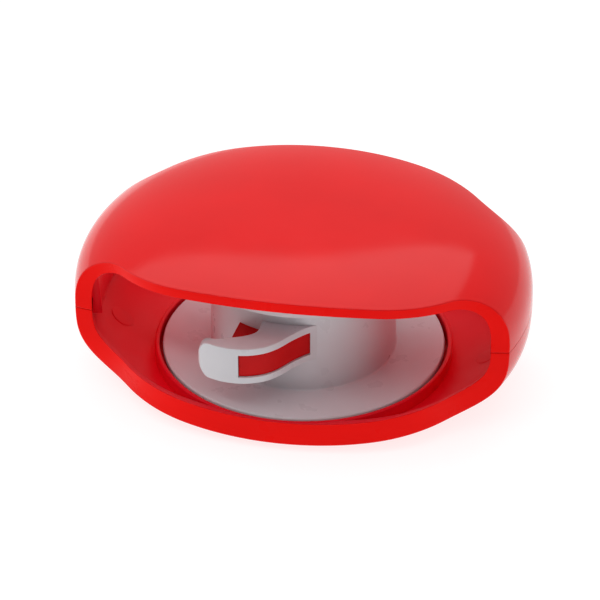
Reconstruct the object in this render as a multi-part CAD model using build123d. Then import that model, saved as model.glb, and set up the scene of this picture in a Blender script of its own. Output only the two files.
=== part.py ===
from build123d import *
from math import acos, cos, pi, radians, sin, sqrt
import os

# Press-to-wind cord winder. Millimetres, +Z up.
# The model is drawn about the seam plane (z = 0) on the spool's axis, and every piece is lifted by
# SEAM_HEIGHT when it is written, so that the origin is the centre of the flat rest face.

# --- pebble shell -------------------------------------------------------------------------------
HALF_LENGTH = 33.0        # radius of the pebble at the seam
HALF_HEIGHT = 13.3        # seam to the crown, before the rest flat is cut
ROUNDNESS = 2.9           # exponent of the section: 2 is an ellipse, more is boxier
FLOOR_WALL = 1.7
CROWN_WALL = 2.0
END_WALL = 2.3            # both halves' walls at the seam
CROWN_ROUNDNESS = 3.5     # exponent of the inside of the upper half, so that it thins at its shoulder
REST_FLAT = 0.35          # depth of the flat cut under the lower shell
SEAM_HEIGHT = HALF_HEIGHT - REST_FLAT
LIP_REACH = 21.7          # axis to the middle of each mouth's lip
LIP_RADIUS = 52.0         # plan radius of the middle of a lip
LIP_SWEEP = 15.0          # degrees either side of the middle that it keeps this radius
CORNER_RADIUS = 20.5      # plan radius of the ends of a lip
SHOULDER_RADIUS = 12.6    # plan radius of the hollow between a lip and a strap
STRAP_HALF_WIDTH = 10.2   # half the width of the end straps that join the two halves
SEAM_GAP = 0.05           # half the parting line between the halves

BEAD_WIDTH = 1.3          # raised bead along the edge of the lower half
TONGUE_HALF_WIDTH = 7.5   # tongues of the upper half, which stand inside the straps
TONGUE_WALL = 1.3
TONGUE_GAP = 0.25         # between a tongue and the inside of its strap
TONGUE_FOOT = -2.6
TONGUE_ROOT = 3.5

PIN_MARK_RADIUS = 1.7     # round pads left inside the lower half
PIN_MARK_X = 27.0
PIN_MARK_PROUD = 0.3

# --- spool --------------------------------------------------------------------------------------
FLANGE_RADIUS = 20.5
FLANGE_TOP = -8.1
FLANGE_THICKNESS = 1.2
DRUM_RADIUS = 13.45
DRUM_WALL = 1.35
DRUM_TOP = 6.4
HUB_RADIUS = 5.2
WEB_TOP = 0.9             # floor of the clutch pocket inside the drum
WEB_THICKNESS = 1.2
COVER_RADIUS = 17.0       # upper flange, screwed on the drum
COVER_THICKNESS = 1.2
COVER_HOLE = 6.6
COVER_SPIGOT = 1.0
SCREW_CIRCLE = 10.2
SCREW_COUNT = 3
PILLAR_RADIUS = 1.6
SCREW_RADIUS = 0.8
SCREW_HEAD_RADIUS = 1.6
SCREW_HEAD = 0.7
SCREW_LENGTH = 4.0

COLLAR_GAP = 0.45         # flange edge to the collar moulded in the lower half
COLLAR_WALL = 0.7

# --- hook ---------------------------------------------------------------------------------------
SPOOL_TURN = 10.7         # degrees, where the spool stands at rest
HOOK_HALF_HEIGHT = 2.9
HOOK_EDGE = 0.6
PAD_HALF_HEIGHT = 1.85
PAD_LEFT = -9.1           # ends of the pad's window along the arm
PAD_RIGHT = 1.0
PAD_RECESS = 0.3
CROTCH_HALF_HEIGHT = 1.2  # half the height of the pad behind the arm

# --- post and drive -----------------------------------------------------------------------------
POST_RADIUS = 3.6
POST_BORE = 2.85
POST_TOP = 2.2
POST_FOOT = -11.8
BOSS_RADIUS = 6.0
BOSS_TOP = -9.6
RUN = 0.06                # radial running clearance
WASHER = 0.25
AXIAL = 0.03              # end float each side of a washer
CLIP_THICKNESS = 0.4
CLIP_RADIUS = 4.8
CLIP_GROOVE = 0.35

LEAD = 10.0               # rod advance for one turn of the driver
ROD_SIDE = 3.6
ROD_CLEAR = 0.1
ROD_FOOT = -3.6
ROD_HEAD_RADIUS = 3.4
ROD_HEAD = 1.0
CROWN_BOSS_RADIUS = 5.4
CROWN_BOSS_DEPTH = 2.7
RETAINER = 0.6

DRIVER_RADIUS = 8.3
DRIVER_HUB_RADIUS = 4.4
DRIVER_FOOT = 2.8
DRIVER_DISC = 3.6
DRIVER_DISC_THICKNESS = 1.2
DRIVER_TOP = 5.6
DOG_COUNT = 8
DOG_HEIGHT = 0.7
DOG_INNER = 6.2
RING_OUTER = 8.3
RING_INNER = 5.95
RING_BASE = 1.0

CLUTCH_WIRE = 0.4
CLUTCH_COIL = 5.5
CLUTCH_TURNS = 3
SPRING_WIRE = 0.45
SPRING_COIL = 2.2
SPRING_TURNS = 6
SEAT_THICKNESS = 0.5
FOLLOWER_RADIUS = 2.7
FOLLOWER_HEIGHT = 1.0


def ring(outer, inner, low, high):
    """Plain tube about the axis between two heights."""
    body = Cylinder(outer, high - low, align=(Align.CENTER, Align.CENTER, Align.MIN))
    body -= Cylinder(inner, high - low, align=(Align.CENTER, Align.CENTER, Align.MIN))
    return Pos(0, 0, low) * body


def rod(radius, low, high):
    """Plain round bar about the axis between two heights."""
    return Pos(0, 0, low) * Cylinder(radius, high - low, align=(Align.CENTER, Align.CENTER, Align.MIN))


def spin_section(points):
    """Solid of revolution about the axis from (radius, height) corners."""
    return revolve(Plane.XZ * make_face(Polyline(*points, close=True)), Axis.Z)


OUTSIDE = (HALF_LENGTH, HALF_HEIGHT, ROUNDNESS)
LOWER_INSIDE = (HALF_LENGTH - END_WALL, HALF_HEIGHT - FLOOR_WALL, ROUNDNESS)
UPPER_INSIDE = (HALF_LENGTH - END_WALL, HALF_HEIGHT - CROWN_WALL, CROWN_ROUNDNESS)


def wall_curve(form, inner_radius, outer_radius):
    """Spline along a pebble section between two radii; form is its reach, rise and roundness."""
    reach, rise, power = form
    steps = 10
    first = acos((inner_radius / reach) ** (power / 2))
    last = acos(min(outer_radius / reach, 1) ** (power / 2))
    points = []
    for i in range(steps + 1):
        t = first + (last - first) * i / steps
        points.append((reach * cos(t) ** (2 / power), rise * sin(t) ** (2 / power)))
    return Spline(*points)


def wall_height(form, radius):
    """Height of a pebble section above the seam at a radius."""
    reach, rise, power = form
    return rise * (1 - (radius / reach) ** power) ** (1 / power)


def bead_form():
    """Section of the bead's crest: it leaves the collar's top and reaches the seam inside the wall."""
    collar_outer = FLANGE_RADIUS + COLLAR_GAP + COLLAR_WALL
    reach = LOWER_INSIDE[0]
    return reach, -FLANGE_TOP / wall_height((reach, 1, ROUNDNESS), collar_outer), ROUNDNESS


def arc_about(centre, start, end):
    """Arc about a centre, the short way between two points."""
    middle = (start + end) / 2 - centre
    radius = (start - centre).length
    return ThreePointArc(start, centre + middle.normalized() * radius, end)


def plan_quarter():
    """Front right quarter of the plan outline: corner of the lip, hollow shoulder, strap."""
    sweep = radians(LIP_SWEEP)
    aim = Vector(sin(sweep), cos(sweep))
    lip_centre = Vector(0, LIP_REACH - LIP_RADIUS)
    corner_centre = lip_centre + aim * (LIP_RADIUS - CORNER_RADIUS)
    lip_end = lip_centre + aim * LIP_RADIUS
    shoulder_y = STRAP_HALF_WIDTH + SHOULDER_RADIUS
    span = CORNER_RADIUS + SHOULDER_RADIUS
    shoulder_x = corner_centre.X + sqrt(span ** 2 - (shoulder_y - corner_centre.Y) ** 2)
    shoulder_centre = Vector(shoulder_x, shoulder_y)
    touch = corner_centre + (shoulder_centre - corner_centre) * (CORNER_RADIUS / span)
    strap = Vector(shoulder_x, STRAP_HALF_WIDTH)
    curves = [
        arc_about(corner_centre, lip_end, touch),
        arc_about(shoulder_centre, touch, strap),
        Line(strap, (HALF_LENGTH + 2, STRAP_HALF_WIDTH)),
    ]
    return lip_end, curves


def plan_prism(inset=0.0):
    """Prism of the plan outline: curved lips front and back, hollow shoulders, narrow end straps."""
    lip_end, quarter = plan_quarter()
    lip = ThreePointArc((-lip_end.X, lip_end.Y), (0, LIP_REACH), lip_end)
    side = Curve() + [lip] + quarter + [mirror(curve, Plane.YZ) for curve in quarter]
    end = Line((HALF_LENGTH + 2, -STRAP_HALF_WIDTH), (HALF_LENGTH + 2, STRAP_HALF_WIDTH))
    outline = side + mirror(side, Plane.XZ) + end + mirror(end, Plane.YZ)
    face = make_face(outline)
    if inset:
        face = offset(face, -inset)
    return extrude(face, HALF_LENGTH, both=True)


def half_shell(axis_height, inner_edge):
    """One half of the pebble, drawn above the seam, opened front and back by the plan outline.

    inner_edge is the chain of curves that bounds it on the inside, from the axis at axis_height out
    to the seam.
    """
    outer = wall_curve(OUTSIDE, 0, HALF_LENGTH)
    seam = Line((HALF_LENGTH - END_WALL, 0), (HALF_LENGTH, 0))
    axis_line = Line((0, axis_height), (0, HALF_HEIGHT))
    section = make_face(Curve() + [outer, seam, axis_line] + inner_edge)
    half = revolve(Plane.XZ * section, Axis.Z) & plan_prism()
    return half - rod(2 * HALF_LENGTH, -1, SEAM_GAP)


def floor_pocket(inner_radius):
    """Space outside the collar, down to the floor, that leaves the bead along the edge standing."""
    reach = LOWER_INSIDE[0]
    start = (inner_radius, wall_height(LOWER_INSIDE, inner_radius))
    sides = Polyline(start, (inner_radius, 0), (reach, 0))
    section = make_face(Curve() + [wall_curve(LOWER_INSIDE, inner_radius, reach), sides])
    return revolve(Plane.XZ * section, Axis.Z) & plan_prism(BEAD_WIDTH)


def lower_shell():
    """Lower half: rest flat, edge bead, collar round the spool, post boss and round pads inside."""
    collar_inner = FLANGE_RADIUS + COLLAR_GAP
    collar_outer = collar_inner + COLLAR_WALL
    edge = [
        Polyline(
            (0, -POST_FOOT),
            (POST_RADIUS, -POST_FOOT),
            (POST_RADIUS, -BOSS_TOP),
            (BOSS_RADIUS, -BOSS_TOP),
            (BOSS_RADIUS, wall_height(LOWER_INSIDE, BOSS_RADIUS)),
        ),
        wall_curve(LOWER_INSIDE, BOSS_RADIUS, collar_inner),
        Polyline(
            (collar_inner, wall_height(LOWER_INSIDE, collar_inner)),
            (collar_inner, -FLANGE_TOP),
            (collar_outer, -FLANGE_TOP),
        ),
        wall_curve(bead_form(), collar_outer, LOWER_INSIDE[0]),
    ]
    shell = half_shell(-POST_FOOT, edge) - floor_pocket(collar_outer)
    shell = mirror(shell, Plane.XY)
    shell -= rod(HALF_LENGTH, -HALF_HEIGHT - 1, -HALF_HEIGHT + REST_FLAT)
    pad_top = -wall_height(LOWER_INSIDE, PIN_MARK_X) + PIN_MARK_PROUD
    for side in (-1, 1):
        shell += Pos(side * PIN_MARK_X, 0, 0) * rod(PIN_MARK_RADIUS, pad_top - 1.2, pad_top)
    return shell


def strap_tongues():
    """Curved tongues, one each end, that hang from the upper half inside the lower half's straps."""
    wall = UPPER_INSIDE[0]
    outer = wall - TONGUE_GAP
    inner = outer - TONGUE_WALL
    band = spin_section([
        (inner, TONGUE_FOOT),
        (outer, TONGUE_FOOT),
        (outer, SEAM_GAP),
        (wall + 0.1, SEAM_GAP),
        (wall, TONGUE_ROOT),
        (inner + 0.4, TONGUE_ROOT),
    ])
    return band & Box(3 * HALF_LENGTH, 2 * TONGUE_HALF_WIDTH, 4 * TONGUE_ROOT)


def upper_shell():
    """Upper half: the pressed crown, with the boss that holds the drive rod, and its tongues."""
    foot = wall_height(UPPER_INSIDE, 0) - CROWN_BOSS_DEPTH
    edge = [
        Polyline(
            (0, rod_top()),
            (ROD_HEAD_RADIUS, rod_top()),
            (ROD_HEAD_RADIUS, foot),
            (CROWN_BOSS_RADIUS, foot),
            (CROWN_BOSS_RADIUS, wall_height(UPPER_INSIDE, CROWN_BOSS_RADIUS)),
        ),
        wall_curve(UPPER_INSIDE, CROWN_BOSS_RADIUS, UPPER_INSIDE[0]),
    ]
    return half_shell(rod_top(), edge) + strap_tongues()


def rod_top():
    """Height of the top of the drive rod's head, inside the crown boss."""
    return wall_height(UPPER_INSIDE, 0) - 0.3


def twisted_bar(side, low, high):
    """Square bar with a left-hand twist of one turn per LEAD, in step at every height."""
    turn = -360 * (high - low) / LEAD
    start = -360 * low / LEAD
    section = Rot(0, 0, start) * Rectangle(side, side)
    bar = Solid.extrude_linear_with_rotation(section.face(), (0, 0, 0), (0, 0, high - low), turn)
    return Pos(0, 0, low) * bar


def drive_rod():
    """Twisted rod with a round head, which the crown pushes down through the driver."""
    head = rod(ROD_HEAD_RADIUS, rod_top() - ROD_HEAD, rod_top())
    return head + twisted_bar(ROD_SIDE, ROD_FOOT, rod_top() - ROD_HEAD)


def rod_retainer():
    """Push-in ring that keeps the rod's head in the crown boss."""
    high = rod_top() - ROD_HEAD
    return ring(ROD_HEAD_RADIUS, ROD_SIDE * sqrt(2) / 2 + 0.1, high - RETAINER, high)


def spring_follower():
    """Cup in the post's bore, between the rod's foot and the return spring."""
    low = ROD_FOOT - FOLLOWER_HEIGHT
    return rod(FOLLOWER_RADIUS, low, ROD_FOOT)


def coil(radius, wire, turns, low, high):
    """Round-wire coil spring standing between two heights."""
    centre_low = low + wire / 2
    centre_high = high - wire / 2
    path = Helix(pitch=(centre_high - centre_low) / turns, height=centre_high - centre_low, radius=radius)
    start = Plane(origin=path @ 0, z_dir=path % 0)
    return Pos(0, 0, centre_low) * sweep(start * Circle(wire / 2), path=path)


def return_spring():
    """Spring inside the post that lifts the crown again."""
    low = POST_FOOT + SEAT_THICKNESS
    return coil(SPRING_COIL, SPRING_WIRE, SPRING_TURNS, low, ROD_FOOT - FOLLOWER_HEIGHT)


def spring_seat():
    """Disc at the bottom of the post's bore."""
    return rod(POST_BORE - 0.05, POST_FOOT, POST_FOOT + SEAT_THICKNESS)


def clip_height():
    """Underside of the clip that holds the spool on its post."""
    return WEB_TOP + AXIAL + WASHER + AXIAL


def spindle_post():
    """Hollow post that the spool turns on, pressed in the lower half's boss."""
    post = ring(POST_RADIUS, POST_BORE, POST_FOOT, POST_TOP)
    low = clip_height()
    return post - ring(POST_RADIUS + 1, POST_RADIUS - CLIP_GROOVE, low, low + CLIP_THICKNESS)


def post_clip():
    """Open spring clip in the post's groove."""
    low = clip_height()
    clip = ring(CLIP_RADIUS, POST_RADIUS - CLIP_GROOVE, low, low + CLIP_THICKNESS)
    return clip - Pos(CLIP_RADIUS, 0, low) * Box(2 * CLIP_RADIUS, 2.2, 4 * CLIP_THICKNESS)


def floor_washer():
    """Thrust washer between the lower half's boss and the spool's hub."""
    return ring(BOSS_RADIUS - 0.3, POST_RADIUS + RUN, BOSS_TOP, BOSS_TOP + WASHER)


def hub_washer():
    """Washer between the spool's hub and the clip."""
    return ring(CLIP_RADIUS + 0.15, POST_RADIUS + RUN, WEB_TOP + AXIAL, WEB_TOP + AXIAL + WASHER)


def screw_places():
    """Angles of the three screws and their pillars, in degrees."""
    return [90 + i * 360 / SCREW_COUNT for i in range(SCREW_COUNT)]


def spool_drum():
    """Drum, lower flange, hub and clutch pocket in one moulding."""
    flange_foot = FLANGE_TOP - FLANGE_THICKNESS
    inner = DRUM_RADIUS - DRUM_WALL
    body = spin_section([
        (POST_RADIUS + RUN, flange_foot),
        (HUB_RADIUS, flange_foot),
        (HUB_RADIUS, WEB_TOP - WEB_THICKNESS),
        (inner, WEB_TOP - WEB_THICKNESS),
        (inner, flange_foot),
        (FLANGE_RADIUS - 0.4, flange_foot),
        (FLANGE_RADIUS, flange_foot + 0.4),
        (FLANGE_RADIUS, FLANGE_TOP - 0.35),
        (FLANGE_RADIUS - 0.35, FLANGE_TOP),
        (DRUM_RADIUS + 0.3, FLANGE_TOP),
        (DRUM_RADIUS, FLANGE_TOP + 0.3),
        (DRUM_RADIUS - 0.1, DRUM_TOP),
        (inner, DRUM_TOP),
        (inner, WEB_TOP),
        (POST_RADIUS + RUN, WEB_TOP),
    ])
    pillar_top = DRUM_TOP - COVER_SPIGOT
    for angle in screw_places():
        pillar = Pos(SCREW_CIRCLE, 0, 0) * rod(PILLAR_RADIUS, WEB_TOP - 0.2, pillar_top)
        hole = Pos(SCREW_CIRCLE, 0, 0) * rod(SCREW_RADIUS, pillar_top - SCREW_LENGTH + 0.6, pillar_top)
        body += Rot(0, 0, angle) * pillar
        body -= Rot(0, 0, angle) * hole
    return body - hook_socket()


def spool_cover():
    """Upper flange, which closes the drum over the driver."""
    inner = DRUM_RADIUS - DRUM_WALL - 0.05
    high = DRUM_TOP + COVER_THICKNESS
    body = ring(COVER_RADIUS, COVER_HOLE, DRUM_TOP, high)
    body += ring(inner, DRIVER_RADIUS + 0.35, DRUM_TOP - COVER_SPIGOT, DRUM_TOP)
    for angle in screw_places():
        low = DRUM_TOP - COVER_SPIGOT
        body -= Rot(0, 0, angle) * Pos(SCREW_CIRCLE, 0, 0) * rod(SCREW_RADIUS, low, high)
    return body


def cover_screws():
    """Three small pan-head screws through the cover into the drum's pillars."""
    high = DRUM_TOP + COVER_THICKNESS
    group = []
    for angle in screw_places():
        shank = rod(SCREW_RADIUS, high - SCREW_LENGTH, high)
        head = rod(SCREW_HEAD_RADIUS, high, high + SCREW_HEAD)
        slot = Pos(0, 0, high + SCREW_HEAD) * Box(2.2, 0.4, 0.6)
        slot += Pos(0, 0, high + SCREW_HEAD) * Box(0.4, 2.2, 0.6)
        group.append(Rot(0, 0, angle) * Pos(SCREW_CIRCLE, 0, 0) * (shank + head - slot))
    return Compound(children=group)


def hook_outline():
    """Plan face of the hook's arm: off the drum at a tangent, round the nose, back to the crotch."""
    outer = Spline((2.0, -13.2), (-0.4, -14.6), (-3.6, -17.75), (-8.4, -19.55), (-13.6, -17.85))
    nose = ThreePointArc((-13.6, -17.85), (-14.65, -16.9), (-14.1, -16.3))
    inner = Spline((-14.1, -16.3), (-10.2, -16.4), (-7.1, -15.4), (-5.9, -12.3))
    root = Polyline((-5.9, -12.3), (-5.6, -11.3), (1.6, -11.3), (2.0, -13.2))
    return make_face(Curve() + [outer, nose, inner, root])


def hook_blank(half_height):
    """The arm's outline, extruded to a height about the seam plane."""
    return extrude(hook_outline(), half_height, both=True)


def drum_core(radius):
    """Round space on the axis, as tall as the hook and a little more."""
    return rod(radius, -2 * HOOK_HALF_HEIGHT, 2 * HOOK_HALF_HEIGHT)


def pad_window():
    """Block of the rectangular window cut through the arm from its outer face."""
    width = PAD_RIGHT - PAD_LEFT
    return Pos(PAD_LEFT + width / 2, -DRUM_RADIUS - 2, 0) * Box(width, DRUM_RADIUS, 2 * PAD_HALF_HEIGHT)


def hook_socket():
    """Pocket through the drum's wall that takes the hook's root."""
    root = hook_blank(HOOK_HALF_HEIGHT) & drum_core(DRUM_RADIUS + 1)
    return Rot(0, 0, SPOOL_TURN) * (root - drum_core(DRUM_RADIUS - DRUM_WALL))


def cord_hook():
    """White hook that catches the middle of the cord, with softened outer edges."""
    arm = hook_blank(HOOK_HALF_HEIGHT)
    outer_edges = [e for e in arm.edges().filter_by(GeomType.BSPLINE) if e.center().Y < -16]
    rims = [e for e in outer_edges if abs(e.center().Z) > 1]
    arm = fillet(rims, HOOK_EDGE) - drum_core(DRUM_RADIUS - DRUM_WALL) - pad_window()
    return Rot(0, 0, SPOOL_TURN) * arm


def grip_pad():
    """Red soft pad: it fills the arm's window and reaches into the crotch behind the arm."""
    window = hook_blank(PAD_HALF_HEIGHT) & pad_window()
    window &= Pos(0, PAD_RECESS, 0) * hook_blank(PAD_HALF_HEIGHT)
    crotch = make_face(Polyline((-9.1, -9.6), (-10.8, -16.7), (-7.1, -15.6), (-5.4, -12.0), close=True))
    behind = extrude(crotch, CROTCH_HALF_HEIGHT, both=True) - hook_blank(HOOK_HALF_HEIGHT)
    pad = window + behind - drum_core(DRUM_RADIUS)
    return Rot(0, 0, SPOOL_TURN) * pad


def dogs(low, high, phase):
    """Ring of square face teeth, half as wide as their spacing."""
    teeth = None
    length = RING_OUTER - DOG_INNER
    for i in range(DOG_COUNT):
        angle = phase + i * 360 / DOG_COUNT
        width = pi * (RING_OUTER + DOG_INNER) / 2 / DOG_COUNT - 0.4
        tooth = Pos(DOG_INNER + length / 2, 0, (low + high) / 2) * Box(length, width, high - low)
        tooth = Rot(0, 0, angle) * tooth
        teeth = tooth if teeth is None else teeth + tooth
    return teeth & ring(RING_OUTER, DOG_INNER, low, high)


def clutch_ring():
    """Toothed ring on the spool, which the driver's teeth drop into."""
    low = WEB_TOP
    high = low + RING_BASE
    return ring(RING_OUTER, RING_INNER, low, high) + dogs(high, high + DOG_HEIGHT, 22.5)


def clutch_driver():
    """Driver: a toothed disc on a hub whose square bore follows the rod's twist."""
    disc = ring(DRIVER_RADIUS, DRIVER_HUB_RADIUS - 1, DRIVER_DISC, DRIVER_DISC + DRIVER_DISC_THICKNESS)
    body = rod(DRIVER_HUB_RADIUS, DRIVER_FOOT, DRIVER_TOP) + disc
    body += dogs(DRIVER_DISC - DOG_HEIGHT, DRIVER_DISC, 0)
    return body - twisted_bar(ROD_SIDE + 2 * ROD_CLEAR, DRIVER_FOOT - 0.5, DRIVER_TOP + 0.5)


def clutch_spring():
    """Light spring that holds the driver clear of the ring's teeth."""
    return coil(CLUTCH_COIL, CLUTCH_WIRE, CLUTCH_TURNS, WEB_TOP, DRIVER_DISC - 0.05)


def cover_washer():
    """Thin washer between the driver's disc and the cover's spigot."""
    low = DRIVER_DISC + DRIVER_DISC_THICKNESS + AXIAL
    return ring(DRIVER_RADIUS + 0.3, DRIVER_HUB_RADIUS + 0.6, low, low + WASHER)


PIECES = {
    "lower_shell": lower_shell,
    "upper_shell": upper_shell,
    "spindle_post": spindle_post,
    "post_clip": post_clip,
    "floor_washer": floor_washer,
    "hub_washer": hub_washer,
    "spring_seat": spring_seat,
    "return_spring": return_spring,
    "spring_follower": spring_follower,
    "drive_rod": drive_rod,
    "rod_retainer": rod_retainer,
    "clutch_driver": clutch_driver,
    "clutch_ring": clutch_ring,
    "clutch_spring": clutch_spring,
    "cover_washer": cover_washer,
    "spool_drum": spool_drum,
    "spool_cover": spool_cover,
    "cover_screws": cover_screws,
    "cord_hook": cord_hook,
    "grip_pad": grip_pad,
}

os.makedirs("parts", exist_ok=True)
for node, make in PIECES.items():
    export_step(Pos(0, 0, SEAM_HEIGHT) * make(), f"parts/{node}.step")
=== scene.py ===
from math import cos, hypot, pi, radians, sin, sqrt

import bmesh
import bpy
from mathutils import Matrix, Vector
from mathutils.geometry import interpolate_bezier


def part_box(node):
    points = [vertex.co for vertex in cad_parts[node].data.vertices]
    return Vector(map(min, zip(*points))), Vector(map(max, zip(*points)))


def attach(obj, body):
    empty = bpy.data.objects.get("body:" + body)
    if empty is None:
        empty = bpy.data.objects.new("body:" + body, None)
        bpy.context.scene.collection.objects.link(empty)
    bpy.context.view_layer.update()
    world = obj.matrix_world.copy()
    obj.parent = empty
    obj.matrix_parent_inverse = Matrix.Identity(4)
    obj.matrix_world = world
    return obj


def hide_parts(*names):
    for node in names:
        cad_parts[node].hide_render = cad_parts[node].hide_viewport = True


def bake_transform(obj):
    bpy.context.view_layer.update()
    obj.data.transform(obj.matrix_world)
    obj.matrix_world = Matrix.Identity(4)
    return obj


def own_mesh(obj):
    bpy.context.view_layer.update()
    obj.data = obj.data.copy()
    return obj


bl_info = {
    "name": "Press-to-Wind Cord Winder",
    "version": (1, 0, 0),
    "blender": (4, 5, 0),
    "location": "3D View > Sidebar > Cord Winder",
    "description": "Builds the shells, spool, hook and finishes of a press-to-wind cord winder",
    "category": "Object",
}

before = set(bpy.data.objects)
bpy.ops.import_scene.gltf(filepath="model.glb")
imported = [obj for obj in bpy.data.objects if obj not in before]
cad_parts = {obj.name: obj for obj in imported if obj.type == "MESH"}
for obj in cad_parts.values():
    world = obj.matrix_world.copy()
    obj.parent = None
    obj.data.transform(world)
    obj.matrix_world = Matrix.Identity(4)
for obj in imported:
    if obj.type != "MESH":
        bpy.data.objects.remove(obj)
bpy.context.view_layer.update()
MM = 0.001
PARTING = 0.00005  # half the gap between the two halves
BLEND_RISE = 0.0085  # seam up to where the upper half would move wholly with the crown; the half is not bent here
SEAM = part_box("lower_shell")[1][2] + PARTING


# --- sizes and colours a user would change --------------------------------------------------------


def length(name, description, default):
    """A length property, in metres."""
    return bpy.props.FloatProperty(
        name=name, description=description, default=default, min=0.0, unit="LENGTH", precision=5
    )


def colour(name, description, default):
    """A colour property, in linear values."""
    return bpy.props.FloatVectorProperty(
        name=name, description=description, default=default, size=3, min=0.0, max=1.0,
        subtype="COLOR",
    )


def number(name, description, default, low=0.0):
    """A plain number."""
    return bpy.props.FloatProperty(
        name=name, description=description, default=default, min=low
    )


def angle(name, description, degrees):
    """An angle, given in degrees and kept in radians."""
    return bpy.props.FloatProperty(
        name=name, description=description, default=radians(degrees), subtype="ANGLE"
    )


class ShellSizes(bpy.types.PropertyGroup):
    """Sizes of the two halves of the pebble."""

    half_length: length("Half Length", "Radius of the pebble at its seam", 0.0330)
    half_height: length("Half Height", "Seam to crown, before the rest flat is cut", 0.0133)
    roundness: number(
        "Roundness", "Section exponent: 2 is an ellipse, more is boxier", 2.9, 2.0
    )
    floor_wall: length("Floor Wall", "Thickness of the floor", 0.0017)
    crown_wall: length("Crown Wall", "Thickness of the crown", 0.0020)
    end_wall: length("End Wall", "Thickness of both halves at the seam", 0.0023)
    crown_roundness: number(
        "Crown Roundness", "Section exponent of the inside of the crown", 3.5, 2.0
    )
    bead_width: length("Bead Width", "Width of the raised bead along the lower lips", 0.0013)
    bead_depth: length("Bead Depth", "Seam down to the bead's crest form at the axis", 0.009465)
    rest_flat: length("Rest Flat", "Depth of the flat under the lower half", 0.00035)
    lip_reach: length("Lip Reach", "Axis to the middle of a mouth's lip", 0.0217)
    lip_radius: length("Lip Radius", "Plan radius of the middle of a lip", 0.052)
    lip_sweep: angle(
        "Lip Sweep", "Half the angle over which the lip keeps its middle radius", 15.0
    )
    corner_radius: length("Corner Radius", "Plan radius of the ends of a lip", 0.0205)
    shoulder_radius: length("Shoulder Radius", "Plan radius of the hollow beside each strap", 0.0126)
    strap_half_width: length("Strap Half Width", "Half the width of the end straps", 0.0102)
    edge: length("Edge", "Rounding outside the rims of the mouths", 0.00055)
    inner_edge: length("Inner Edge", "Rounding inside the rims of the mouths", 0.00022)
    collar_radius: length("Collar Radius", "Inside of the collar round the lower flange", 0.02095)
    collar_wall: length("Collar Wall", "Thickness of the collar", 0.0007)
    tongue_depth: length("Tongue Depth", "Seam down to the ends of the tongues", 0.0026)
    tongue_wall: length("Tongue Wall", "Thickness of the tongues inside the straps", 0.0013)
    tongue_gap: length("Tongue Gap", "Between a tongue and the inside of its strap", 0.00025)
    tongue_root: length("Tongue Root", "Height of the tongues above the seam", 0.0035)
    tongue_half_width: length("Tongue Half Width", "Half the width of the tongues", 0.0075)
    collar_top: length("Collar Drop", "Seam down to the top of the collar", 0.0081)
    mark_place: length("Mark Place", "Axis to each round mark on the floor", 0.0270)
    mark_radius: length("Mark Radius", "Radius of the round marks on the floor", 0.0017)


class SpoolSizes(bpy.types.PropertyGroup):
    """Sizes of the spool, its hook and the hook's pad."""

    flange_radius: length("Flange Radius", "Edge of the lower flange", 0.0205)
    flange_drop: length("Flange Drop", "Seam down to the top of the lower flange", 0.0081)
    flange_thickness: length("Flange Thickness", "Thickness of the lower flange", 0.0012)
    drum_radius: length("Drum Radius", "Outside of the winding drum", 0.01345)
    drum_wall: length("Drum Wall", "Wall of the drum", 0.00135)
    drum_top: length("Drum Top", "Seam up to the top of the drum", 0.0064)
    cover_radius: length("Cover Radius", "Edge of the upper flange", 0.0170)
    cover_thickness: length("Cover Thickness", "Thickness of the upper flange", 0.0012)
    cover_hole: length("Cover Hole", "Hole the driving rod passes through", 0.0066)
    turn: angle("Turn", "Where the spool stands at rest", 10.7)
    hook_half_height: length("Hook Half Height", "Half the height of the hook's arm", 0.0029)
    hook_edge: length("Hook Edge", "Rounding of the hook's arm", 0.0006)
    pad_half_height: length("Pad Half Height", "Half the height of the pad's window", 0.00185)
    crotch_half_height: length(
        "Crotch Half Height", "Half the height of the pad behind the arm", 0.0012
    )
    pad_recess: length("Pad Recess", "How far the pad sits below the arm's face", 0.0003)


class Finishes(bpy.types.PropertyGroup):
    """Colours of the moulded plastics, the pad and the floor."""

    shell_red: colour("Shell Red", "Gloss plastic of the two halves", (0.80, 0.004, 0.005))
    # Lip Red is the shell's own red plastic made lighter: painted light on the lips' cut faces.
    lip_red_painted_lit: colour("Lip Red", "Cut faces of the lips", (1.0, 0.004, 0.002))
    lining_red: colour("Lining Red", "Satin inside of the two halves", (0.84, 0.006, 0.020))
    spool_white: colour("Spool White", "Plastic of the spool and hook", (0.67, 0.65, 0.68))
    pad_red: colour("Pad Red", "Soft pad in the hook", (0.62, 0.004, 0.005))
    floor_white: colour("Floor", "Studio floor", (0.30, 0.30, 0.30))


class StageSizes(bpy.types.PropertyGroup):
    """Where the camera stands, and the light of the room."""

    azimuth: angle("Azimuth", "Camera angle round the object", 10.92)
    elevation: angle("Elevation", "Camera angle above the floor", 32.67)
    distance: length("Distance", "Camera to the middle of the object", 0.500)
    lens: number("Lens", "Focal length in millimetres", 207.8)
    aim_left: length("Aim Left", "How far left of the middle the camera aims", 0.00055)
    aim_below: length("Aim Below", "How far below the middle the camera aims", 0.00121)
    world_light: number("Room Light", "Light of the room, overhead and behind", 0.62)


# --- finishes -------------------------------------------------------------------------------------


def node_material(name):
    """A new material, with its node tree, its shader and the place on the piece."""
    material = bpy.data.materials.new(name)
    material.use_nodes = True
    tree = material.node_tree
    shader = tree.nodes["Principled BSDF"]
    place = tree.nodes.new("ShaderNodeTexCoord").outputs["Object"]
    return material, tree, shader, place


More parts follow.
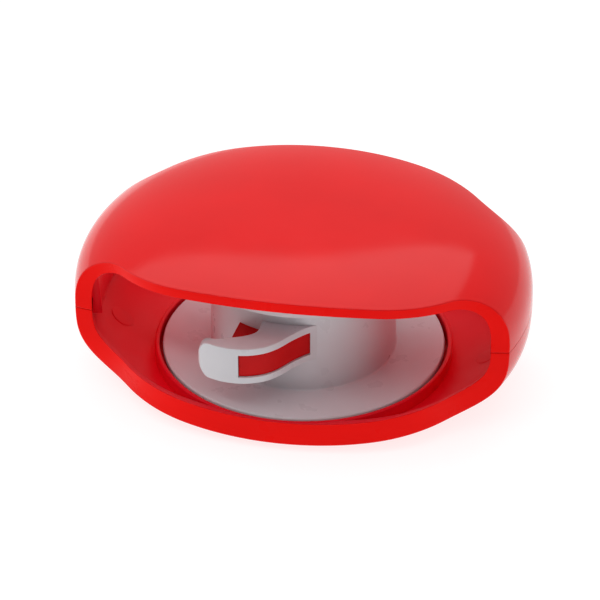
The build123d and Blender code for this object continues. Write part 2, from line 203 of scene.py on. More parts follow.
def noise(tree, place, scale, detail=3.0, stretch=None):
    """Noise with scale cells to a metre; stretch scales it along each axis."""
    if stretch:
        mapping = tree.nodes.new("ShaderNodeMapping")
        mapping.inputs["Scale"].default_value = stretch
        tree.links.new(place, mapping.inputs["Vector"])
        place = mapping.outputs["Vector"]
    node = tree.nodes.new("ShaderNodeTexNoise")
    node.inputs["Scale"].default_value = scale
    node.inputs["Detail"].default_value = detail
    tree.links.new(place, node.inputs["Vector"])
    return node.outputs["Fac"]


def spread(tree, value, low, high, start=0.3, end=0.7):
    """Maps a noise value onto a range."""
    node = tree.nodes.new("ShaderNodeMapRange")
    node.inputs["From Min"].default_value = start
    node.inputs["From Max"].default_value = end
    node.inputs["To Min"].default_value = low
    node.inputs["To Max"].default_value = high
    tree.links.new(value, node.inputs["Value"])
    return node.outputs["Result"]


def blend_colour(tree, share, first, second):
    """Colour between two by a share from 0 to 1."""
    node = tree.nodes.new("ShaderNodeMix")
    node.data_type = "RGBA"
    node.inputs["A"].default_value = (*first, 1)
    node.inputs["B"].default_value = (*second, 1)
    tree.links.new(share, node.inputs["Factor"])
    return node.outputs["Result"]


def bump(tree, shader, height, depth, strength=1.0):
    """Surface relief of a given depth in metres."""
    node = tree.nodes.new("ShaderNodeBump")
    node.inputs["Strength"].default_value = strength
    node.inputs["Distance"].default_value = depth
    tree.links.new(height, node.inputs["Height"])
    tree.links.new(node.outputs["Normal"], shader.inputs["Normal"])


def tinted(base, factor):
    """A colour made a little lighter or darker."""
    return tuple(min(1.0, channel * factor) for channel in base)


def moulded_plastic(name, base, rough, grain, depth, gloss, variation):
    """Injection-moulded plastic: faint flow mottling, uneven gloss and a fine moulded skin.

    rough is the range of roughness, grain and depth are the skin's scale and relief, gloss is
    the specular level, and variation is how much darker the mottling goes.
    """
    material, tree, shader, place = node_material(name)
    flow = noise(tree, place, 85.0, 2.0, (1.0, 1.0, 2.2))
    colour_out = blend_colour(tree, spread(tree, flow, 0, 1), tinted(base, 1 - variation), base)
    tree.links.new(colour_out, shader.inputs["Base Color"])
    handling = noise(tree, place, 260.0, 4.0)
    tree.links.new(spread(tree, handling, *rough), shader.inputs["Roughness"])
    bump(tree, shader, noise(tree, place, grain, 2.0), depth)
    shader.inputs["IOR"].default_value = 1.49
    shader.inputs["Specular IOR Level"].default_value = gloss
    return material


def soft_rubber(name, base):
    """Soft pad: dull, with a fine grain."""
    material, tree, shader, place = node_material(name)
    flow = noise(tree, place, 300.0, 3.0)
    colour_out = blend_colour(tree, spread(tree, flow, 0, 1), tinted(base, 0.88), base)
    tree.links.new(colour_out, shader.inputs["Base Color"])
    grain = noise(tree, place, 4200.0, 2.0)
    tree.links.new(spread(tree, grain, 0.42, 0.56), shader.inputs["Roughness"])
    bump(tree, shader, grain, 0.00001)
    shader.inputs["IOR"].default_value = 1.5
    shader.inputs["Specular IOR Level"].default_value = 0.12
    return material


def drawn_steel(name, base):
    """Spring wire, clips and screws: bright metal with fine drawing lines."""
    material, tree, shader, place = node_material(name)
    lines = noise(tree, place, 900.0, 4.0, (1.0, 1.0, 6.0))
    colour_out = blend_colour(tree, spread(tree, lines, 0, 1), tinted(base, 0.82), base)
    tree.links.new(colour_out, shader.inputs["Base Color"])
    tree.links.new(spread(tree, lines, 0.2, 0.36), shader.inputs["Roughness"])
    bump(tree, shader, lines, 0.00001)
    shader.inputs["Metallic"].default_value = 1.0
    return material


def finish_set(finishes):
    """Every finish of the winder, by name; made once."""
    if "shell_red_gloss" in bpy.data.materials:
        return {m.name: m for m in bpy.data.materials}
    # lip holds the lips' lighter red, which is painted light.
    shell, lip = tuple(finishes.shell_red), tuple(finishes.lip_red_painted_lit)
    lining, white = tuple(finishes.lining_red), tuple(finishes.spool_white)
    for name, base, rough, grain, depth, gloss, variation in (
        ("shell_red_gloss", shell, (0.10, 0.15), 950.0, 0.000003, 0.26, 0.06),
        ("shell_red_satin", lining, (0.38, 0.48), 1800.0, 0.000003, 0.12, 0.06),
        # The lips' finish is a lighter copy of the shell red: painted light on the cut faces.
        ("shell_red_lip", lip, (0.26, 0.34), 1400.0, 0.000002, 0.06, 0.06),
        ("moulded_white", white, (0.26, 0.36), 1500.0, 0.000006, 0.50, 0.03),
        ("acetal_natural", (0.74, 0.73, 0.68), (0.32, 0.44), 2600.0, 0.000010, 0.50, 0.05),
    ):
        moulded_plastic(name, base, rough, grain, depth, gloss, variation)
    soft_rubber("pad_red_soft", tuple(finishes.pad_red))
    drawn_steel("bright_steel", (0.62, 0.61, 0.59))
    return {m.name: m for m in bpy.data.materials}


# --- shaping helpers ------------------------------------------------------------------------------


def finished(bm, name, materials, body, nodes, edge=0.0, edge_angle=32.0):
    """Turns a bmesh into a piece that stands for CAD nodes.

    body is the name of the body that the piece rides on. A piece given instead the two bodies
    and the heights of a bend is left where it stands, unbent and riding on no body.
    """
    bmesh.ops.translate(bm, vec=(0, 0, SEAM), verts=bm.verts)
    for face in bm.faces:
        face.smooth = True
    mesh = bpy.data.meshes.new(name)
    bm.to_mesh(mesh)
    bm.free()
    for material in materials:
        mesh.materials.append(material)
    piece = bpy.data.objects.new(name, mesh)
    bpy.context.collection.objects.link(piece)
    if edge:
        rounding = piece.modifiers.new("edges", "BEVEL")
        rounding.width = edge
        rounding.segments = 3
        rounding.limit_method = "ANGLE"
        rounding.angle_limit = radians(edge_angle)
        rounding.miter_outer = "MITER_ARC"
    weighting = piece.modifiers.new("flat_faces", "WEIGHTED_NORMAL")
    weighting.keep_sharp = True
    settle(piece)
    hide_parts(*nodes)
    if isinstance(body, str):
        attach(piece, body)
    else:
        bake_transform(piece)
    return piece


def settle(piece):
    """Makes a piece's modifiers part of its mesh."""
    bpy.context.view_layer.update()
    ready = piece.evaluated_get(bpy.context.evaluated_depsgraph_get())
    mesh = bpy.data.meshes.new_from_object(ready)
    mesh.name = piece.name
    piece.modifiers.clear()
    piece.data = mesh


def turned(bm, outline, steps=144):
    """Closed outline of (radius, height) corners turned once about the axis."""
    corners = [bm.verts.new((radius, 0, height)) for radius, height in outline]
    edges = [bm.edges.new((corners[i - 1], corner)) for i, corner in enumerate(corners)]
    bmesh.ops.spin(
        bm, geom=corners + edges, cent=(0, 0, 0), axis=(0, 0, 1), angle=2 * pi, steps=steps,
        use_merge=True,
    )


def outward(bm):
    """Merges doubles and points the faces outward."""
    bmesh.ops.remove_doubles(bm, verts=bm.verts, dist=0.000001)
    bmesh.ops.recalc_face_normals(bm, faces=bm.faces)


def flowing_line(points, steps):
    """Points along a smooth line through the given ones, both ends included."""
    line = []
    for i in range(len(points) - 1):
        start, end = points[i], points[i + 1]
        before = points[max(i - 1, 0)]
        after = points[min(i + 2, len(points) - 1)]
        leave = start + (end - before) / 6
        arrive = end - (after - start) / 6
        line += interpolate_bezier(start, leave, arrive, end, steps)[:-1]
    return line + [points[-1]]


# --- the pebble's shell ---------------------------------------------------------------------------

SKIN_COLUMNS, SKIN_ROWS = 160, 84
RIM_ROWS = 10 / 42  # share of the rows that are packed along each rim
RIM_BAND = 1.7  # width of those rows, in bead widths
BEAD_FOOT = 1.45  # rim to the foot of the bead, in bead widths
LIP_BAND = 0.00015  # how far from the lip line a face can be and still be part of the lip
LIP_TILT = 0.25  # most a lip's face may look up or down
SOFT_CORNER = 0.00015
BOSS_SOFT_CORNER = 0.0002
BOSS_ROOT = 0.0002  # how far a boss runs into its wall


def form_height(form, radius):
    """Height above the seam of a pebble form, given as its reach, rise and roundness."""
    reach, rise, power = form
    share = min(radius / reach, 1.0)
    return rise * (1 - share ** power) ** (1 / power)


def outer_form(sizes):
    """Form of the outer skin."""
    return sizes.half_length, sizes.half_height, sizes.roundness


def inner_form(sizes, side):
    """Form of the inside of the upper or the lower half."""
    reach = sizes.half_length - sizes.end_wall
    if side > 0:
        return reach, sizes.half_height - sizes.crown_wall, sizes.crown_roundness
    return reach, sizes.half_height - sizes.floor_wall, sizes.roundness


def inner_height(sizes, side, radius):
    """Height of the inside of a half, away from its seam."""
    return form_height(inner_form(sizes, side), radius)


def lip_line(sizes):
    """Function from x to the half width of the plan outline there."""
    sweep = sizes.lip_sweep
    shift = sizes.lip_radius - sizes.corner_radius
    lip_y = sizes.lip_reach - sizes.lip_radius
    corner_x, corner_y = shift * sin(sweep), lip_y + shift * cos(sweep)
    lip_end = sizes.lip_radius * sin(sweep)
    hollow_y = sizes.strap_half_width + sizes.shoulder_radius
    span = sizes.corner_radius + sizes.shoulder_radius
    hollow_x = corner_x + sqrt(span ** 2 - (hollow_y - corner_y) ** 2)
    touch = corner_x + (hollow_x - corner_x) * sizes.corner_radius / span

    def half_width(x):
        x = abs(x)
        if x < lip_end:
            return lip_y + sqrt(sizes.lip_radius ** 2 - x ** 2)
        if x < touch:
            return corner_y + sqrt(sizes.corner_radius ** 2 - (x - corner_x) ** 2)
        if x < hollow_x:
            return hollow_y - sqrt(sizes.shoulder_radius ** 2 - (x - hollow_x) ** 2)
        return sizes.strap_half_width

    return half_width


def smooth_share(value, start, end):
    """0 at start, 1 at end, eased between."""
    share = min(max((value - start) / (end - start), 0.0), 1.0)
    return share * share * (3 - 2 * share)


def row_place(row, half_width, edge_band):
    """Distance from the middle line of a grid row, with the outer rows packed along the rim."""
    if abs(row) > 1 - RIM_ROWS:
        return half_width - edge_band * (1 - abs(row)) / RIM_ROWS
    return (half_width - edge_band) * abs(row) / (1 - RIM_ROWS)


def lay_skin(bm, sizes, form, side, beaded=False):
    """A grid shaped to one face of one half: side is 1 above the seam and -1 below it."""
    reach, _, power = form
    half_width = lip_line(sizes)
    strap = sizes.strap_half_width
    for _ in range(6):  # settles on the width at which the lip line meets the seam
        strap = half_width(sqrt(reach ** 2 - strap ** 2))
    edge_band = RIM_BAND * sizes.bead_width
    grid = bmesh.ops.create_grid(bm, x_segments=SKIN_COLUMNS, y_segments=SKIN_ROWS, size=1.0)
    for vert in grid["verts"]:
        swing = (1 - abs(vert.co.x)) * pi / 2
        along = cos(swing) / (cos(swing) ** power + sin(swing) ** power) ** (1 / power)
        along = along if vert.co.x >= 0 else -along
        lip = half_width(along * sqrt(reach ** 2 - strap ** 2))
        place = row_place(vert.co.y, lip, edge_band)
        x = along * sqrt(reach ** 2 - (strap * place / lip) ** 2)
        radius = hypot(x, place)
        height = form_height(form, radius)
        if beaded:
            bead = form_height((reach, sizes.bead_depth, power), radius)
            share = smooth_share(lip - place, BEAD_FOOT * sizes.bead_width, sizes.bead_width)
            collar = sizes.collar_radius
            share *= smooth_share(radius, collar + 0.0001, collar + 0.0004)
            height += (bead - height) * share
        vert.co = (x, place if vert.co.y >= 0 else -place, side * max(height, PARTING))
    return grid["verts"]


def rim_edges(skin):
    """The edges round a skin: those along the mouths, and those along the seam."""
    border = {edge for vert in skin for edge in vert.link_edges if edge.is_boundary}
    seam = {edge for edge in border if all(abs(vert.co.z) < 1.01 * PARTING for vert in edge.verts)}
    return border - seam, seam


def half_of_pebble(sizes, side):
    """One closed half: outer skin, satin inner skin, and the rims that join them."""
    bm = bmesh.new()
    outer = lay_skin(bm, sizes, outer_form(sizes), side)
    inner = lay_skin(bm, sizes, inner_form(sizes, side), side, beaded=side < 0)
    for vert in inner:
        for face in vert.link_faces:
            face.material_index = 1
    outer_mouths, outer_seam = rim_edges(outer)
    inner_mouths, inner_seam = rim_edges(inner)
    twin = dict(zip(outer, inner))
    for edge in outer_mouths | outer_seam:
        first, second = edge.verts
        bm.faces.new((first, second, twin[second], twin[first]))
    for edge in outer_seam | inner_seam:
        edge.smooth = False
    if side < 0:
        flat = -sizes.half_height + sizes.rest_flat
        geometry = list(bm.verts) + list(bm.edges) + list(bm.faces)
        bmesh.ops.bisect_plane(
            bm, geom=geometry, dist=1e-7, plane_co=(0, 0, flat), plane_no=(0, 0, -1),
            clear_outer=True,
        )
        hole = [edge for edge in bm.edges if edge.is_boundary]
        bmesh.ops.contextual_create(bm, geom=hole)
    bmesh.ops.recalc_face_normals(bm, faces=bm.faces)
    for rims, radius in ((outer_mouths, sizes.edge), (inner_mouths, sizes.inner_edge)):
        bmesh.ops.bevel(
            bm, geom=list(rims), offset=radius, segments=5, profile=0.5, affect="EDGES",
            material=-1, clamp_overlap=True,
        )
    # Paints light on the lips: their cut faces get the lighter copy of the red.
    paint_light_on_lips(bm, sizes)
    return bm


def paint_light_on_lips(bm, sizes):
    """Gives the cut faces of the lips the lighter copy of the shell red: painted light on them."""
    half_width = lip_line(sizes)
    bm.normal_update()
    for face in bm.faces:
        middle = face.calc_center_median()
        beside = abs(abs(middle.y) - half_width(middle.x))
        if beside < LIP_BAND and abs(face.normal.z) < LIP_TILT:
            face.material_index = 2


def add_collar(bm, sizes):
    """Collar moulded round the lower flange, with a softened top."""
    inner = sizes.collar_radius
    outer = inner + sizes.collar_wall
    top = -sizes.collar_top
    foot = sizes.floor_wall / 2
    turned(bm, [
        (inner, -inner_height(sizes, -1, inner) - foot),
        (inner, top - SOFT_CORNER),
        (inner + SOFT_CORNER, top),
        (outer - SOFT_CORNER, top),
        (outer, top - SOFT_CORNER),
        (outer, -inner_height(sizes, -1, outer) - foot),
    ], 192)


def add_post_boss(bm, sizes):
    """Boss in the middle of the floor, for the spool's post."""
    bore, outside, top = 0.0037, 0.0060, -0.0096
    foot = -inner_height(sizes, -1, outside) - 0.0005
    turned(bm, [
        (bore, foot),
        (bore, top),
        (outside - BOSS_SOFT_CORNER, top),
        (outside, top - BOSS_SOFT_CORNER),
        (outside, foot),
    ], 96)


def add_round_mark(bm, sizes, x):
    """Low round pad on the floor, following its slope."""
    rise, sunk = 0.00012, -0.0002
    disc = bmesh.ops.create_circle(
        bm, cap_ends=True, cap_tris=False, segments=48, radius=sizes.mark_radius
    )
    for vert in disc["verts"]:
        vert.co.x += x
    face = disc["verts"][0].link_faces[0]
    border = bmesh.ops.inset_individual(bm, faces=[face], thickness=rise)["faces"]
    top = set(face.verts)
    for vert in {vert for side in border for vert in side.verts} | top:
        lift = rise if vert in top else sunk
        vert.co.z = lift - inner_height(sizes, -1, hypot(vert.co.x, vert.co.y))
    for each in border + [face]:
        each.material_index = 1


def add_crown_boss(bm, sizes):
    """Socket under the crown that holds the driving rod's head."""
    bore, outside, depth = 0.0034, 0.0054, 0.0032
    ceiling = inner_height(sizes, 1, 0)
    turned(bm, [
        (bore, ceiling + BOSS_ROOT),
        (bore, ceiling - depth),
        (outside - BOSS_SOFT_CORNER, ceiling - depth),
        (outside, ceiling - depth + BOSS_SOFT_CORNER),
        (outside, ceiling + BOSS_ROOT),
    ], 96)


def add_tongues(bm, sizes):
    """Curved tongues of the upper half, which stand inside the lower half's straps."""
    wall = inner_form(sizes, 1)[0]
    outer = wall - sizes.tongue_gap
    inner = outer - sizes.tongue_wall
    low, high = -sizes.tongue_depth, sizes.tongue_root
    swing = sizes.tongue_half_width / outer
    section = [
        (inner, low), (outer, low), (outer, PARTING), (wall, PARTING + 0.0001),
        (wall, high), (inner + 0.0004, high),
    ]
    for start in (-swing, pi - swing):
        corners = [bm.verts.new((r * cos(start), r * sin(start), z)) for r, z in section]
        edges = [bm.edges.new((corners[i - 1], corner)) for i, corner in enumerate(corners)]
        bmesh.ops.spin(
            bm, geom=corners + edges, cent=(0, 0, 0), axis=(0, 0, 1), angle=2 * swing, steps=24
        )
    ends = [edge for edge in bm.edges if edge.is_boundary]
    bmesh.ops.holes_fill(bm, edges=ends, sides=0)


def satin_since(bm, before):
    """Gives every face that was not there before the satin finish."""
    for face in set(bm.faces) - before:
        face.material_index = 1


class CORDWINDER_OT_shell_halves(bpy.types.Operator):
    """Mould the two red halves of the pebble"""

    bl_idname = "cordwinder.shell_halves"
    bl_label = "Shell Halves"

    def execute(self, context):
        sizes = context.scene.cord_winder_shell
        looks = finish_set(context.scene.cord_winder_finishes)
        # The third red is the lips' lighter copy, painted light.
        reds = [looks["shell_red_gloss"], looks["shell_red_satin"], looks["shell_red_lip"]]
        lower = half_of_pebble(sizes, -1)
        before = set(lower.faces)
        add_collar(lower, sizes)
        add_post_boss(lower, sizes)
        satin_since(lower, before)
        for x in (-sizes.mark_place, sizes.mark_place):
            add_round_mark(lower, sizes, x)
        outward(lower)
        finished(lower, "lower_half", reds, "base", ["lower_shell"])
        upper = half_of_pebble(sizes, 1)
        before = set(upper.faces)
        add_crown_boss(upper, sizes)
        add_tongues(upper, sizes)
        satin_since(upper, before)
        outward(upper)
        crown_line = Vector((0, 0, SEAM + BLEND_RISE))
        bend = ("base", "crown", (0, 0, SEAM), crown_line)
        finished(upper, "upper_half", reds, bend, ["upper_shell"])
        return {"FINISHED"}


# --- the spool ------------------------------------------------------------------------------------

HUB_BORE, HUB_OUTSIDE = 0.00366, 0.0052
WEB_FOOT, WEB_TOP = -0.0003, 0.0009  # wall across the drum, measured from the seam
DRUM_DRAFT = 0.0001  # how much the drum narrows towards its top


class CORDWINDER_OT_spool(bpy.types.Operator):
    """Turn the white spool with its two flanges"""

    bl_idname = "cordwinder.spool"
    bl_label = "Spool"

    def execute(self, context):
        sizes = context.scene.cord_winder_spool
        white = finish_set(context.scene.cord_winder_finishes)["moulded_white"]
        top = -sizes.flange_drop
        foot = top - sizes.flange_thickness
        inner = sizes.drum_radius - sizes.drum_wall
        drum = bmesh.new()
        turned(drum, [
            (HUB_BORE, foot),
            (HUB_OUTSIDE, foot),
            (HUB_OUTSIDE, WEB_FOOT),
            (inner, WEB_FOOT),
            (inner, foot),
            (sizes.flange_radius, foot),
            (sizes.flange_radius, top),
            (sizes.drum_radius, top),
            (sizes.drum_radius - DRUM_DRAFT, sizes.drum_top),
            (inner, sizes.drum_top),
            (inner, WEB_TOP),
            (HUB_BORE, WEB_TOP),
        ], 192)
        outward(drum)
        finished(
            drum, "spool_drum_flange", [white], "spool", ["spool_drum"], 0.0003
        )
        cover = bmesh.new()
        roof = sizes.drum_top + sizes.cover_thickness
        spigot, spigot_foot = inner - 0.00005, sizes.drum_top - 0.001
        turned(cover, [
            (sizes.cover_hole, spigot_foot),
            (spigot, spigot_foot),
            (spigot, sizes.drum_top),
            (sizes.cover_radius, sizes.drum_top),
            (sizes.cover_radius, roof),
            (sizes.cover_hole, roof),
        ], 144)
        outward(cover)
        finished(
            cover, "spool_top_flange", [white], "spool", ["spool_cover"], 0.00025
        )
        return {"FINISHED"}


# --- the hook and its pad -------------------------------------------------------------------------

# Plan points are in millimetres, with the spool not yet turned to its rest place.
ARM_OUTSIDE = [
    (2.0, -13.2), (0.4, -14.0), (-1.5, -15.6), (-3.6, -17.75),
    (-5.7, -19.05), (-8.4, -19.55), (-11.3, -19.05), (-13.6, -17.85),
]
ARM_NOSE = [(-13.6, -17.85), (-14.5, -17.15), (-14.7, -16.65), (-14.1, -16.3)]
ARM_INSIDE = [
    (-14.1, -16.3), (-12.0, -16.75), (-10.2, -16.4), (-8.5, -16.05),
    (-7.1, -15.4), (-6.3, -14.4), (-5.9, -12.3),
]
ARM_ROOT = [(-5.6, -11.5), (1.6, -12.5)]
WINDOW_ENDS = (-9.1, 1.0)
NOSE_START = -13.2
NOSE_DROP = 0.97  # how far towards a point the nose's height is drawn
CROTCH_BACK = [(-7.4, -15.2), (-9.6, -16.1), (-10.8, -16.2)]
PAD_ROOT = 0.0130  # radius, just inside the drum, at which the pad ends
PAD_SWEEP = (250, 274)
CROTCH_SWEEP = (226.5, 246)
ROOT_CLEAR = 0.0128  # edges closer to the axis are inside the drum and stay sharp
PAD_GAP = 0.00003


def metres(points):
    """Plan points from millimetres."""
    return [Vector((x * MM, y * MM, 0)) for x, y in points]


def plate(bm, outline, half_height):
    """Closed outline raised to a plate, half above and half below the seam plane."""
    corners = [bm.verts.new((point.x, point.y, -half_height)) for point in outline]
    face = bm.faces.new(corners)
    raised = bmesh.ops.extrude_face_region(bm, geom=[face])
    lifted = [item for item in raised["geom"] if isinstance(item, bmesh.types.BMVert)]
    bmesh.ops.translate(bm, vec=(0, 0, 2 * half_height), verts=lifted)
    bmesh.ops.recalc_face_normals(bm, faces=bm.faces)


def cut_across(bm, point, normal):
    """Scores a line round the mesh at a plane."""
    geometry = list(bm.verts) + list(bm.edges) + list(bm.faces)
    bmesh.ops.bisect_plane(bm, geom=geometry, dist=1e-7, plane_co=point, plane_no=normal)


def hook_arm(sizes):
    """The arm with its rounded edges and the window through it."""
    bm = bmesh.new()
    outline = flowing_line(metres(ARM_OUTSIDE), 8)[:-1]
    outline += flowing_line(metres(ARM_NOSE), 8)[:-1]
    outline += flowing_line(metres(ARM_INSIDE), 8) + metres(ARM_ROOT)
    plate(bm, outline, sizes.hook_half_height)
    rounded = []
    for edge in bm.edges:
        middle = (edge.verts[0].co + edge.verts[1].co) / 2
        level = abs(edge.verts[0].co.z - edge.verts[1].co.z) < 1e-7
        if level and hypot(middle.x, middle.y) > ROOT_CLEAR:
            rounded.append(edge)
    bmesh.ops.bevel(
        bm, geom=rounded, offset=sizes.hook_edge, segments=5, profile=0.5, affect="EDGES",
        material=-1, clamp_overlap=True,
    )
    nose_start = NOSE_START * MM
    nose_end = min(vert.co.x for vert in bm.verts)
    for vert in bm.verts:
        reach = max(nose_start - vert.co.x, 0) / (nose_start - nose_end) * NOSE_DROP
        vert.co.z *= sqrt(1 - reach ** 2)
    low, high = (x * MM for x in WINDOW_ENDS)
    tall = sizes.pad_half_height
    for x in (low, high):
        cut_across(bm, (x, 0, 0), (1, 0, 0))
    for z in (-tall, tall):
        cut_across(bm, (0, 0, z), (0, 0, 1))
    window = []
    for face in bm.faces:
        middle = face.calc_center_median()
        if low < middle.x < high and abs(middle.z) < tall and abs(face.normal.z) < 0.5:
            window.append(face)
    bmesh.ops.delete(bm, geom=window, context="FACES")
    mouth = [edge for edge in bm.edges if edge.is_boundary]
    bmesh.ops.bridge_loops(bm, edges=mouth)
    return bm


def drum_line(first, last):
    """Plan points just inside the drum, between two angles in degrees."""
    swings = [radians(first + (last - first) * i / 12) for i in range(13)]
    return [Vector((PAD_ROOT * cos(swing), PAD_ROOT * sin(swing), 0)) for swing in swings]


def pad_block(sizes):
    """Soft pad: fills the window a little below the arm's face, and the crotch behind the arm."""
    bm = bmesh.new()
    low, high = (x * MM for x in WINDOW_ENDS)
    start, end = low + PAD_GAP, high - PAD_GAP
    lift = Vector((0, sizes.pad_recess, 0))
    face_line = [point + lift for point in flowing_line(metres(ARM_OUTSIDE), 8)]
    face_line = [point for point in face_line if start < point.x < end]
    outline = [Vector((end, face_line[0].y + 0.0001, 0))] + face_line
    outline += [Vector((start, face_line[-1].y, 0))]
    back_line = [point - lift for point in flowing_line(metres(ARM_INSIDE), 8)]
    outline += [point for point in back_line if start < point.x < -0.0061]
    plate(bm, outline + drum_line(*PAD_SWEEP), sizes.pad_half_height - PAD_GAP)
    plate(bm, metres(CROTCH_BACK) + drum_line(*CROTCH_SWEEP), sizes.crotch_half_height)
    return bm


class CORDWINDER_OT_hook(bpy.types.Operator):
    """Mould the white hook and its red pad"""

    bl_idname = "cordwinder.hook"
    bl_label = "Hook and Pad"

    def execute(self, context):
        sizes = context.scene.cord_winder_spool
        looks = finish_set(context.scene.cord_winder_finishes)
        white, soft = [looks["moulded_white"]], [looks["pad_red_soft"]]
        turn = Matrix.Rotation(sizes.turn, 3, "Z")
        arm = hook_arm(sizes)
        outward(arm)
        bmesh.ops.rotate(arm, cent=(0, 0, 0), matrix=turn, verts=arm.verts)
        finished(arm, "hook_arm", white, "spool", ["cord_hook"], 0.00006, 50.0)
        pad = pad_block(sizes)
        outward(pad)
        bmesh.ops.rotate(pad, cent=(0, 0, 0), matrix=turn, verts=pad.verts)
        finished(pad, "hook_pad", soft, "spool", ["grip_pad"], 0.00015, 40.0)
        return {"FINISHED"}


# --- the drive inside -----------------------------------------------------------------------------

INSIDE_FINISHES = {
    "bright_steel": [
        "post_clip", "floor_washer", "hub_washer", "return_spring", "clutch_spring",
        "cover_screws",
    ],
    "acetal_natural": [
        "spindle_post", "spring_seat", "spring_follower", "drive_rod", "rod_retainer",
        "clutch_driver", "clutch_ring", "cover_washer",
    ],
}


class CORDWINDER_OT_inside_finishes(bpy.types.Operator):
    """Give the post, clutch, springs and washers their finishes"""

    bl_idname = "cordwinder.inside_finishes"
    bl_label = "Inside Finishes"

    def execute(self, context):
        looks = finish_set(context.scene.cord_winder_finishes)
        for finish, nodes in INSIDE_FINISHES.items():
            for node in nodes:
                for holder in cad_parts[node].material_slots:
                    holder.material = looks[finish]
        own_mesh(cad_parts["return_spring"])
        return {"FINISHED"}


# --- the stage ------------------------------------------------------------------------------------


def softbox(name, place, size, power, tint=(1, 1, 1)):
    """Oblong lamp aimed at the middle of the object, and out of the camera's sight."""
    lamp = bpy.data.lights.new(name, "AREA")
    lamp.shape = "RECTANGLE"
    lamp.size, lamp.size_y = size
    lamp.energy = power
    lamp.color = tint
    holder = bpy.data.objects.new(name, lamp)
    holder.location = place
    aim = Vector((0, 0, SEAM)) - Vector(place)
    holder.rotation_euler = aim.to_track_quat("-Z", "Y").to_euler()
    holder.visible_camera = False
    bpy.context.collection.objects.link(holder)
    return holder


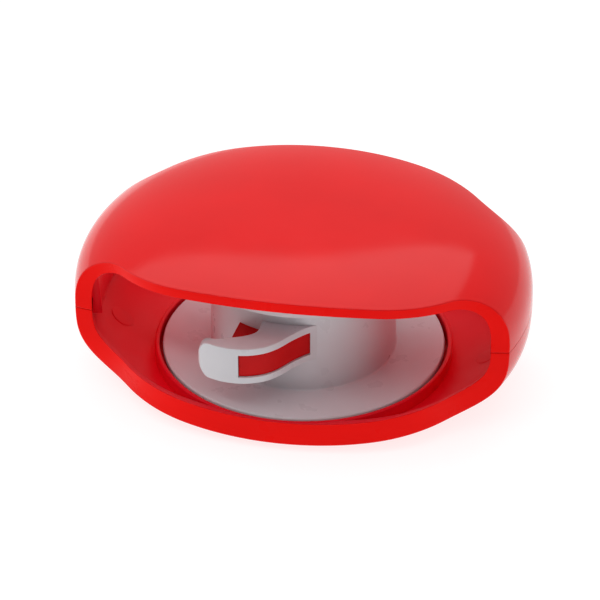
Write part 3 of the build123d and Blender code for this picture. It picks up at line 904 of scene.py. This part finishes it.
class CORDWINDER_OT_stage(bpy.types.Operator):
    """Set up the floor, lamps and camera"""

    bl_idname = "cordwinder.stage"
    bl_label = "Stage"

    def execute(self, context):
        stage = context.scene.cord_winder_stage
        scene = context.scene
        scene.view_settings.view_transform = "Standard"
        world = bpy.data.worlds.new("room")
        world.use_nodes = True
        self.shade_room(world.node_tree, stage)
        scene.world = world
        softbox("softbox_top", (-0.10, 0.25, 0.75), (1.2, 0.9), 3.6)
        softbox("softbox_left", (-0.70, -0.10, 0.25), (0.5, 0.5), 0.6)
        softbox("strip_front", (-0.15, -0.42, 0.70), (0.9, 0.06), 1.0)
        self.glow_inside("glow_left", -0.0235, 0.0006)
        self.glow_inside("glow_right", 0.0235, 0.0004)
        self.lay_floor(context.scene.cord_winder_finishes)
        self.place_camera(scene, stage)
        return {"FINISHED"}

    def glow_inside(self, name, x, power):
        """Red light that comes through the thin shoulder of the crown."""
        tint = (1.0, 0.04, 0.09)
        glow = softbox(name, (x, 0.002, SEAM + 0.0062), (0.008, 0.024), power, tint)
        glow.rotation_euler = (0, 0, 0)
        glow.visible_glossy = False

    def shade_room(self, tree, stage):
        """Room that is bright overhead and behind, and dark towards the front."""
        sky = tree.nodes["Background"]
        place = tree.nodes.new("ShaderNodeTexCoord").outputs["Generated"]
        facing = tree.nodes.new("ShaderNodeVectorMath")
        facing.operation = "DOT_PRODUCT"
        facing.inputs[1].default_value = (0.0, 0.6, 0.8)
        tree.links.new(place, facing.inputs[0])
        bright = stage.world_light
        level = spread(tree, facing.outputs["Value"], 0.1 * bright, bright, -0.2, 0.35)
        tree.links.new(level, sky.inputs["Strength"])
        sky.inputs["Color"].default_value = (1.0, 1.0, 1.0, 1.0)

    def lay_floor(self, finishes):
        """Large pale floor under the object."""
        bm = bmesh.new()
        bmesh.ops.create_grid(bm, x_segments=4, y_segments=4, size=4.0)
        mesh = bpy.data.meshes.new("studio_floor")
        bm.to_mesh(mesh)
        bm.free()
        material, tree, shader, place = node_material("floor_pale")
        base = tuple(finishes.floor_white)
        paper = noise(tree, place, 12.0, 2.0)
        tone = blend_colour(tree, spread(tree, paper, 0, 1), tinted(base, 0.99), base)
        tree.links.new(tone, shader.inputs["Base Color"])
        shader.inputs["Roughness"].default_value = 0.9
        shader.inputs["Specular IOR Level"].default_value = 0.0
        shader.inputs["Emission Color"].default_value = (1.0, 1.0, 1.0, 1.0)
        shader.inputs["Emission Strength"].default_value = 0.80
        mesh.materials.append(material)
        floor = bpy.data.objects.new("studio_floor", mesh)
        bpy.context.collection.objects.link(floor)

    def place_camera(self, scene, stage):
        """Camera on a long lens, a little above the object and to its right."""
        around, above = stage.azimuth, stage.elevation
        back = Vector((sin(around) * cos(above), -cos(around) * cos(above), sin(above)))
        right = Vector((cos(around), sin(around), 0))
        up = back.cross(right)
        middle = Vector((0, 0, SEAM))
        aim = middle - right * stage.aim_left - up * stage.aim_below
        data = bpy.data.cameras.new("camera")
        data.lens = stage.lens
        data.sensor_width = 36.0
        data.clip_start = 0.01
        camera = bpy.data.objects.new("camera", data)
        camera.location = middle + back * stage.distance
        camera.rotation_euler = (aim - camera.location).to_track_quat("-Z", "Y").to_euler()
        bpy.context.collection.objects.link(camera)
        scene.camera = camera


# --- panel and registration -----------------------------------------------------------------------

STEPS = (
    CORDWINDER_OT_stage,
    CORDWINDER_OT_shell_halves,
    CORDWINDER_OT_spool,
    CORDWINDER_OT_hook,
    CORDWINDER_OT_inside_finishes,
)


class CORDWINDER_PT_panel(bpy.types.Panel):
    """Lists the steps that build the winder"""

    bl_idname = "CORDWINDER_PT_panel"
    bl_label = "Cord Winder"
    bl_space_type = "VIEW_3D"
    bl_region_type = "UI"
    bl_category = "Cord Winder"

    def draw(self, context):
        for step in STEPS:
            self.layout.operator(step.bl_idname)


GROUPS = {
    "cord_winder_shell": ShellSizes,
    "cord_winder_spool": SpoolSizes,
    "cord_winder_finishes": Finishes,
    "cord_winder_stage": StageSizes,
}


def register():
    """Adds the sizes, the steps and the panel."""
    for name, group in GROUPS.items():
        bpy.utils.register_class(group)
        setattr(bpy.types.Scene, name, bpy.props.PointerProperty(type=group))
    for step in STEPS:
        bpy.utils.register_class(step)
    bpy.utils.register_class(CORDWINDER_PT_panel)


def unregister():
    """Takes the panel, the steps and the sizes away again."""
    bpy.utils.unregister_class(CORDWINDER_PT_panel)
    for step in reversed(STEPS):
        bpy.utils.unregister_class(step)
    for name, group in reversed(GROUPS.items()):
        delattr(bpy.types.Scene, name)
        bpy.utils.unregister_class(group)


def main():
    """Builds the winder."""
    register()
    for step in STEPS:
        family, name = step.bl_idname.split(".")
        getattr(getattr(bpy.ops, family), name)()


if __name__ == "__main__":
    main()
